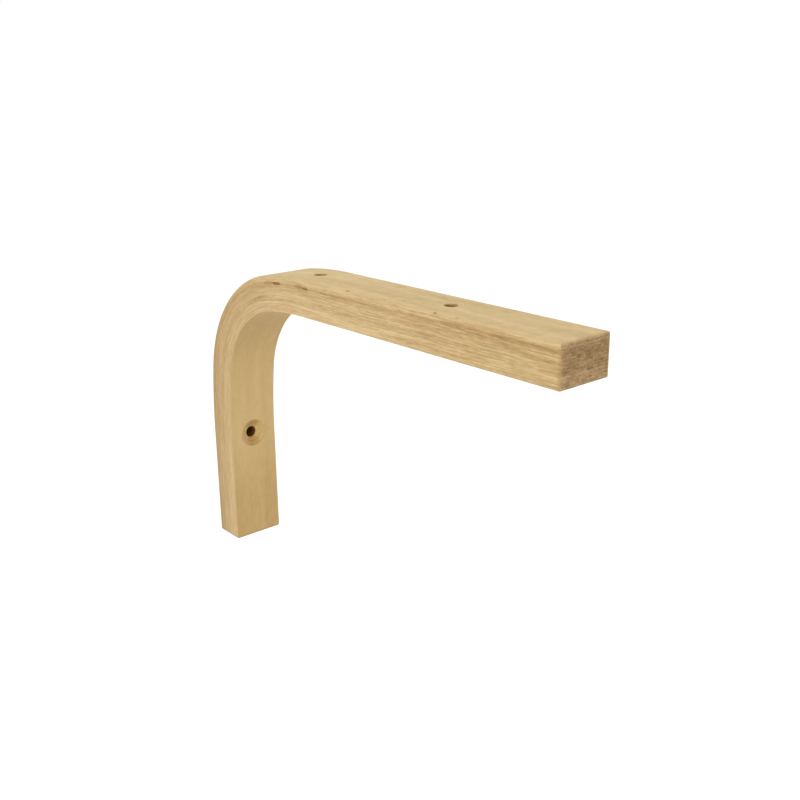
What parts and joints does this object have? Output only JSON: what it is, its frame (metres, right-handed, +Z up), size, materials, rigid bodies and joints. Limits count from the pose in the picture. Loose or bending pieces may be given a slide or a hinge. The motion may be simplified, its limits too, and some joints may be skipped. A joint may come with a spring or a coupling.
{
  "type": "bent laminated wood shelf bracket",
  "caption": "L-shaped shelf bracket bent from a strip of laminated wood, with a countersunk wall screw hole in the leg, a rounded bend and a level arm drilled for shelf screws.",
  "frame": {"origin": "on the axis of the wall screw hole, in the wall plane, which is the back face of the leg", "axes": "+X away from the wall, along the arm and along the wall screw; +Y across the strip's width; +Z up, towards the shelf"},
  "size_m": [0.28, 0.032, 0.18],
  "materials": {
    "laminated_wood": "pale birch veneers, clear satin finish"
  },
  "bodies": {
    "root": {"bracket": "laminated_wood"}
  },
  "joints": []
}
